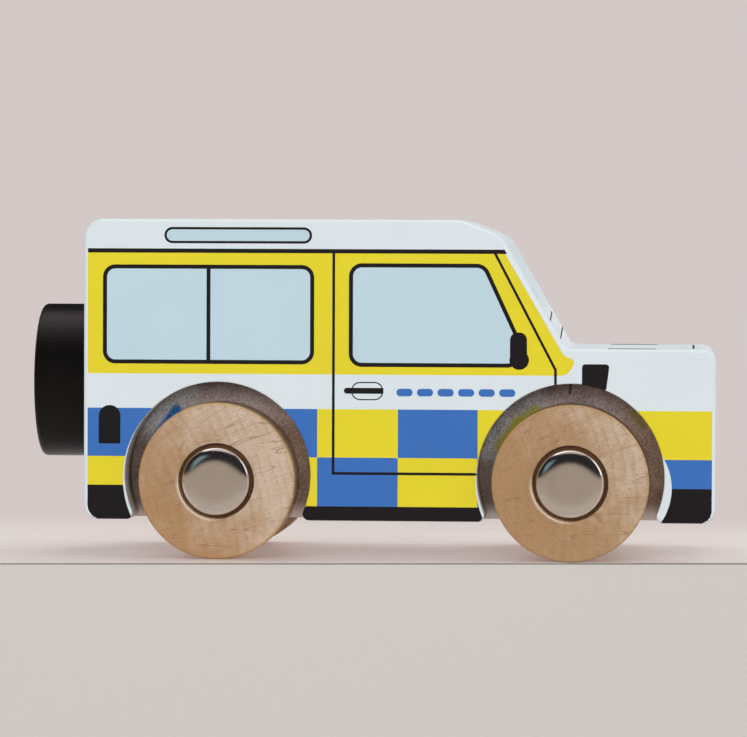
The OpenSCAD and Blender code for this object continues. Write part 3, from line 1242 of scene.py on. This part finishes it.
# the inner face of a wheel and its rounded rim, up to the outer face
def addRim(section, thick, edge, parts, face, corner, rim):
    section.line(wheelR - edge, 0.0, face, parts)
    section.bow((wheelR - edge, edge), math.pi / 2, 6, corner)
    section.line(wheelR, thick - edge, rim, 4)
    section.bow((wheelR - edge, thick - edge), math.pi / 2, 6, corner)


def wheelSection(plan):
    thick = wheelOut - wheelIn
    lip = plan["lip"]
    floor = thick - (wheelOut + highCap.y + plan["capGap"])
    section = Section((plan["boreR"], 0.0))
    # the edge, the tread and the bore take the darker copies of the wood: painted shade
    addRim(section, thick, plan["edge"], 6, "wheelFace", "wheelEdge", "wheelRim")
    section.line(plan["recessR"] + lip, thick, "wheelFace", 6)
    section.bow((plan["recessR"] + lip, thick - lip), math.pi / 2, 4, "wheelFace")
    section.line(plan["recessR"], floor, "wheelFace", 3)
    section.line(plan["boreR"], floor, "wheelFace", 3)
    section.line(plan["boreR"], 0.0, "wheelRim", 2)
    return section


def hubSpace(hubX, side, base):
    def toSpace(r, h, a):
        return (hubX + r * math.cos(a), side * (base + h), hubZ + r * math.sin(a))

    def toWay(n, a):
        return Vector((n.x * math.cos(a), side * n.y, n.x * math.sin(a)))

    return toSpace, toWay


for end, hand in stations:
    title = end + "_" + hand
    local = Matrix.Rotation(math.radians(wheelShape["turns"][title]), 4, "Y")
    local = Matrix.Translation(wheelShape["shifts"][title]) @ local
    toSpace, toWay = hubSpace(hubs[end], sides[hand], wheelIn)
    shell = spin(wheelSection(wheelShape), wheelShape["sides"], toSpace, toWay, local)
    wheel = shell.build("wheel" + end.title() + hand.title())
    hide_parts("wheel_" + title)
    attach(wheel, title + "_wheel")
print("wheels made")


# the domed caps on the axle ends
capShape = {
    "wall": 0.5,
    "crown": 0.78,
    "power": 4.5,
    "edgePower": 60,
    "steps": 32,
    "sides": 96,
}


# slope at a share of the radius: a soft crown and a tight edge, each a power of that share
def capSlope(plan, share):
    crown = plan["crown"] * share ** plan["power"]
    edge = (1 - plan["crown"]) * share ** plan["edgePower"]
    return math.asin(min(1.0, crown + edge))


def capSection(plan):
    radius = (highCap.x - lowCap.x) / 2
    high = highCap.y - lowCap.y
    wall = plan["wall"]
    shares = [1 - (1 - k / plan["steps"]) ** 2 for k in range(plan["steps"] + 1)]
    drop = 0.0
    outer = []
    inner = []
    for k, share in enumerate(shares):
        if k:
            middle = (share + shares[k - 1]) / 2
            drop += radius * math.tan(capSlope(plan, middle)) * (share - shares[k - 1])
        slope = capSlope(plan, share)
        place = Vector((radius * share, high - drop))
        normal = Vector((math.sin(slope), math.cos(slope)))
        outer.append((place, normal))
        # the inner wall leaves out points that would fold back
        under = place - normal * wall
        if not inner or (under.x > inner[-1][0].x and under.y < inner[-1][0].y):
            inner.append((under, -normal))
    section = Section((radius - wall, 0.0))
    section.line(radius, 0.0, "capSteel")
    section.line(radius, high - drop, "capSteel", 2)
    section.curve(outer[::-1], "capSteel")
    section.curve(inner, "capSteel")
    section.line(radius - wall, 0.0, "capSteel", 2)
    return section


for end, hand in stations:
    title = end + "_" + hand
    toSpace, toWay = hubSpace(hubs[end], sides[hand], -highCap.y)
    shell = spin(capSection(capShape), capShape["sides"], toSpace, toWay)
    cap = shell.build("cap" + end.title() + hand.title())
    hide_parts("cap_" + title)
    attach(cap, end + "_axle_set")
print("caps made")


# the spare wheel, painted all over
spareShape = {
    "edge": 1.0,
    "sides": 144,
}


def makeSpare(plan):
    thick = highSpare.x - lowSpare.x
    hole = (highDowel.z - lowDowel.z) / 2
    middle = (highSpare.z + lowSpare.z) / 2
    section = Section((hole, 0.0))
    addRim(section, thick, plan["edge"], 4, "blackPaint", "blackPaint", "blackPaint")
    section.line(hole, thick, "blackPaint", 4)
    section.line(hole, 0.0, "blackPaint", 2)

    def toSpace(r, h, a):
        return (highSpare.x - h, r * math.cos(a), middle + r * math.sin(a))

    def toWay(n, a):
        return Vector((-n.y, n.x * math.cos(a), n.x * math.sin(a)))

    return spin(section, plan["sides"], toSpace, toWay).build("spareWheel")


spare = makeSpare(spareShape)
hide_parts("spare_wheel")
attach(spare, "car_body")
print("spare made")


# the CAD solids that stay get finished materials
kept = {
    "front_axle": "axleSteel",
    "rear_axle": "axleSteel",
    "spare_dowel": "blackPaint",
}
for end, hand in stations:
    kept["grip_" + end + "_" + hand] = "gripSteel"
    kept["spacer_" + end + "_" + hand] = "spacerPlastic"
for title, finish in kept.items():
    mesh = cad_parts[title].data
    mesh.materials.clear()
    mesh.materials.append(materials[finish])
print("kept solids finished", len(kept))


# rows of printed bars: the dashes on the doors and the slats of the grille
def makeBarTree():
    lengths = ("Pitch", "Width", "Height", "Round", "Thickness")
    tree, given, out = newGroup(
        "barRow",
        {"Geometry": "Geometry", "Count": "Int", **{name: "Float" for name in lengths}, "Place": "Vector",
         "Turn": "Vector", "Finish": "Material"},
        {"Geometry": "Geometry"},
        "GeometryNodeTree")

    def shape(kind, inputs, **settings):
        return addNode(tree, "GeometryNode" + kind, inputs, **settings).outputs[0]

    # one flat bar with round corners, raised and closed
    sheet = shape("CurvePrimitiveQuadrilateral", {"Width": given["Width"], "Height": given["Height"]})
    sheet = shape("FilletCurve", {"Curve": sheet, "Radius": given["Round"], "Count": 5, "Limit Radius": True},
                  mode="POLY")
    sheet = shape("FillCurve", {"Curve": sheet})
    raised = shape("ExtrudeMesh", {"Mesh": sheet, "Offset Scale": given["Thickness"]})
    under = shape("FlipFaces", {"Mesh": sheet})
    joined = tree.nodes.new("GeometryNodeJoinGeometry")
    for part in (raised, under):
        tree.links.new(part, joined.inputs[0])
    bar = shape("MergeByDistance", {"Geometry": joined.outputs[0], "Distance": 1e-6})
    # the row is centred on its place
    back = times(tree, times(tree, minus(tree, given["Count"], 1.0), given["Pitch"]), -0.5)
    row = shape("MeshLine", {"Count": given["Count"], "Start Location": vectorOf(tree, back),
                             "Offset": vectorOf(tree, given["Pitch"])})
    row = shape("InstanceOnPoints", {"Points": row, "Instance": bar})
    row = shape("Transform", {"Geometry": row, "Translation": given["Place"], "Rotation": given["Turn"]})
    row = shape("RealizeInstances", {"Geometry": row})
    row = shape("SetMaterial", {"Geometry": row, "Material": given["Finish"]})
    feed(tree, out, {"Geometry": row})
    return tree


def makeBars(tree, plan):
    # the tree's result becomes a plain mesh of its own
    carrier = addObject("barCarrier", bpy.data.meshes.new("barCarrier"))
    modifier = carrier.modifiers.new("barRow", "NODES")
    modifier.node_group = tree
    for item in tree.interface.items_tree:
        if item.in_out == "INPUT" and item.name in plan:
            modifier[item.identifier] = plan[item.name]
    carrier.update_tag()
    bpy.context.view_layer.update()
    shown = carrier.evaluated_get(bpy.context.evaluated_depsgraph_get())
    mesh = bpy.data.meshes.new_from_object(shown)
    mesh.name = plan["name"]
    carrier.modifiers.remove(modifier)
    bpy.data.objects.remove(carrier)
    return addObject(plan["name"], mesh)


upright = math.radians(90.0)
dashBase = {
    "Count": 6,
    "Pitch": 4.1 * mm,
    "Width": 3.2 * mm,
    "Height": 1.5 * mm,
    "Round": 0.7 * mm,
    "Thickness": 0.03 * mm,
    "Finish": materials["inkBlue"],
}
barPlans = [
    {**dashBase, "name": "dashesRight", "Place": (17.3 * mm, -halfWidth * mm, 33.5 * mm),
     "Turn": (upright, 0.0, 0.0)},
    {**dashBase, "name": "dashesLeft", "Place": (17.3 * mm, halfWidth * mm, 33.5 * mm),
     "Turn": (upright, 0.0, math.pi)},
    {"name": "grilleSlats", "Count": 7, "Pitch": 2.9 * mm, "Width": 1.0 * mm, "Height": 9.4 * mm,
     "Round": 0.4 * mm, "Thickness": 0.03 * mm, "Place": (highBody.x * mm, 0.0, 26.8 * mm),
     "Turn": (upright, 0.0, upright), "Finish": materials["inkGrey"]},
]
barTree = makeBarTree()
for plan in barPlans:
    bars = makeBars(barTree, plan)
    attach(bars, "car_body")
    print("bars made", plan["name"], len(bars.data.polygons))


# floor, light and background, in metres apart from the place of the floor's edge
stageSet = {
    "edgeTurn": math.radians(7.1),
    "edgeAt": (1.4, -31.95),
    "size": (2.4, 1.6),
    "thick": 0.3,
    "round": 0.0004,
    "floorColour": (0.580, 0.598, 0.612),
    "mottle": 0.985,
    "floorGlow": (0.205, 0.138, 0.116),
    "faceColour": (0.612, 0.578, 0.537),
    "faceTop": (-0.00040, -0.00052),
    "seamColour": (0.290, 0.260, 0.238),
    "seamTop": (-0.00003, -0.00012),
    "fade": (0.045, 0.13),
    "roughness": 0.38,
    "shine": 0.5,
    "room": (0.650, 0.580, 0.563),
    "ambient": (0.46, 0.46, 0.46),
}


def makeFloor(plan):
    mesh = bpy.data.meshes.new("floorSlab")
    wide, deep = plan["size"]
    r = plan["round"]
    profile = [(deep, 0.0)]
    for k in range(5):
        a = math.pi / 2 * k / 4
        profile.append((r - r * math.sin(a), r * math.cos(a) - r))
    profile += [(0.0, -plan["thick"]), (deep, -plan["thick"])]
    verts = []
    for x in (-wide / 2, wide / 2):
        verts += [(x, y, z) for y, z in profile]
    n = len(profile)
    quads = [(i, (i + 1) % n, n + (i + 1) % n, n + i) for i in range(n)]
    quads += [tuple(range(n)), tuple(range(2 * n - 1, n - 1, -1))]
    turn = Matrix.Translation((plan["edgeAt"][0] * mm, plan["edgeAt"][1] * mm, 0.0))
    turn = turn @ Matrix.Rotation(plan["edgeTurn"], 4, "Z")
    mesh.from_pydata([turn @ Vector(v) for v in verts], [], quads)
    floor = addObject("floorSlab", mesh)
    material, tree, shader = newMaterial("floorPaint")
    place = objectPlace(tree)
    cloud = noise(tree, place, 14.0, 3.0)
    dim = [c * plan["mottle"] for c in plan["floorColour"]]
    colour = mixed(tree, ramp(tree, cloud, 0.3, 0.7), plan["floorColour"], dim)
    # front face and the dark seam along its top
    level = axesOf(tree, place)["Z"]
    colour = mixed(tree, ramp(tree, level, *plan["seamTop"]), colour, plan["seamColour"])
    colour = mixed(tree, ramp(tree, level, *plan["faceTop"]), colour, plan["faceColour"])
    # a faint warm glow keeps the shadow light
    glow = ramp(tree, level, *plan["seamTop"][::-1])
    feed(tree, shader.inputs, {
        "Base Color": colour,
        "Roughness": plan["roughness"],
        "Specular IOR Level": plan["shine"],
        "Emission Color": mixed(tree, glow, (0.0, 0.0, 0.0), plan["floorGlow"]),
        "Emission Strength": 1.0})
    # the slab fades out away from the car
    flat = vectorNode(tree, "MULTIPLY", place, (0.5, 1.0, 0.0))
    gone = ramp(tree, lengthOf(tree, flat), *plan["fade"])
    clear = tree.nodes.new("ShaderNodeBsdfTransparent")
    blend = addNode(tree, "ShaderNodeMixShader", {0: gone, 1: shader.outputs[0], 2: clear.outputs[0]})
    feed(tree, tree.nodes["Material Output"].inputs, {"Surface": blend.outputs[0]})
    mesh.materials.append(material)


def makeWorld(plan):
    world = bpy.data.worlds.new("room")
    world.use_nodes = True
    tree = world.node_tree
    light = tree.nodes["Background"]
    feed(tree, light.inputs, {"Color": plan["ambient"]})
    shown = addNode(tree, "ShaderNodeBackground", {"Color": plan["room"]})
    path = tree.nodes.new("ShaderNodeLightPath").outputs
    seen = mathNode(tree, "MAXIMUM", path["Is Camera Ray"], path["Is Glossy Ray"])
    seen = mathNode(tree, "MAXIMUM", seen, path["Is Transmission Ray"])
    blend = addNode(tree, "ShaderNodeMixShader", {0: seen, 1: light.outputs[0], 2: shown.outputs[0]})
    feed(tree, tree.nodes["World Output"].inputs, {"Surface": blend.outputs[0]})
    scene.world = world


# curved cards that only reflections see: a dark band above the room's beige, a pale sky and a bright window
cardBase = {
    "radius": 0.62,
    "degrees": 6,
    "underRange": (-0.30, 0.0),
    "skyAt": (0.0, 0.0, 3.0),
    "sky": (0.0, 0.0, 0.0),
    "skyRange": (0.20, 0.06),
}
cardPlans = [
    {**cardBase, "name": "frontCard", "turns": (-98, 70), "low": -1.6, "high": 0.95, "band": (0.035, 0.15),
     "dark": (0.026, 0.023, 0.026), "pale": (0.45, 0.37, 0.30), "under": (0.55, 0.475, 0.41),
     "skyAt": (-0.333, -0.522, 0.276), "sky": (0.210, 0.330, 0.365)},
    {**cardBase, "name": "sideCard", "turns": (72, 98), "low": 0.16, "high": 0.60, "band": (2.0, 3.0),
     "dark": (0.0, 0.0, 0.0), "pale": (1.45, 1.55, 1.60), "under": (1.45, 1.55, 1.60)},
    {**cardBase, "name": "backCard", "turns": (140, 220), "low": 0.10, "high": 1.05, "band": (0.10, 0.16),
     "dark": (0.020, 0.018, 0.018), "pale": (0.65, 0.58, 0.563), "under": (0.65, 0.58, 0.563)},
]


def makeCard(plan):
    mesh = bpy.data.meshes.new(plan["name"])
    first, last = plan["turns"]
    count = max(2, (last - first) // plan["degrees"])
    verts = []
    for k in range(count + 1):
        a = math.radians(first + (last - first) * k / count)
        x = plan["radius"] * math.sin(a)
        y = -plan["radius"] * math.cos(a)
        verts += [(x, y, plan["low"]), (x, y, plan["high"])]
    mesh.from_pydata(verts, [], [(2 * k, 2 * k + 2, 2 * k + 3, 2 * k + 1) for k in range(count)])
    card = addObject(plan["name"], mesh)
    card.visible_camera = False
    card.visible_diffuse = False
    card.visible_shadow = False
    card.visible_transmission = False
    material, tree, _ = newMaterial(plan["name"])
    place = objectPlace(tree)
    level = axesOf(tree, place)["Z"]
    colour = mixed(tree, ramp(tree, level, *plan["underRange"]), plan["under"], plan["pale"])
    colour = mixed(tree, ramp(tree, level, *plan["band"]), colour, plan["dark"])
    away = lengthOf(tree, vectorNode(tree, "SUBTRACT", place, plan["skyAt"]))
    colour = mixed(tree, ramp(tree, away, *plan["skyRange"]), colour, plan["sky"])
    glow = addNode(tree, "ShaderNodeEmission", {"Color": colour})
    feed(tree, tree.nodes["Material Output"].inputs, {"Surface": glow.outputs[0]})
    mesh.materials.append(material)


lampPlans = [
    {"name": "topLight", "place": (-0.10, 0.28, 1.05), "size": (1.2, 0.8), "watts": 4.2,
     "glossy": True, "colour": (1.0, 0.985, 0.97)},
    {"name": "backPanel", "place": (0.35, 1.30, 0.50), "size": (2.0, 0.7), "watts": 15.0,
     "glossy": False, "colour": (1.0, 0.97, 0.95)},
    {"name": "frontFill", "place": (-0.10, -1.50, 0.42), "size": (1.6, 0.6), "watts": 14.1,
     "glossy": False, "colour": (1.0, 1.0, 1.0)},
    {"name": "sideFill", "place": (1.30, -0.40, 0.45), "size": (0.8, 0.8), "watts": 4.0,
     "glossy": False, "colour": (1.0, 1.0, 1.0)},
]
lampAim = Vector((0.0, 0.0, 0.03))


def makeLamp(plan):
    data = bpy.data.lights.new(plan["name"], "AREA")
    data.shape = "RECTANGLE"
    data.size, data.size_y = plan["size"]
    data.energy = plan["watts"]
    data.color = plan["colour"]
    lamp = addObject(plan["name"], data)
    place = Vector(plan["place"])
    turn = (lampAim - place).to_track_quat("-Z", "Y").to_matrix().to_4x4()
    lamp.matrix_world = Matrix.Translation(place) @ turn
    lamp.visible_camera = False
    lamp.visible_glossy = plan["glossy"]


makeFloor(stageSet)
makeWorld(stageSet)
for plan in cardPlans:
    makeCard(plan)
for plan in lampPlans:
    makeLamp(plan)
scene.view_settings.view_transform = "Standard"
print("stage made")
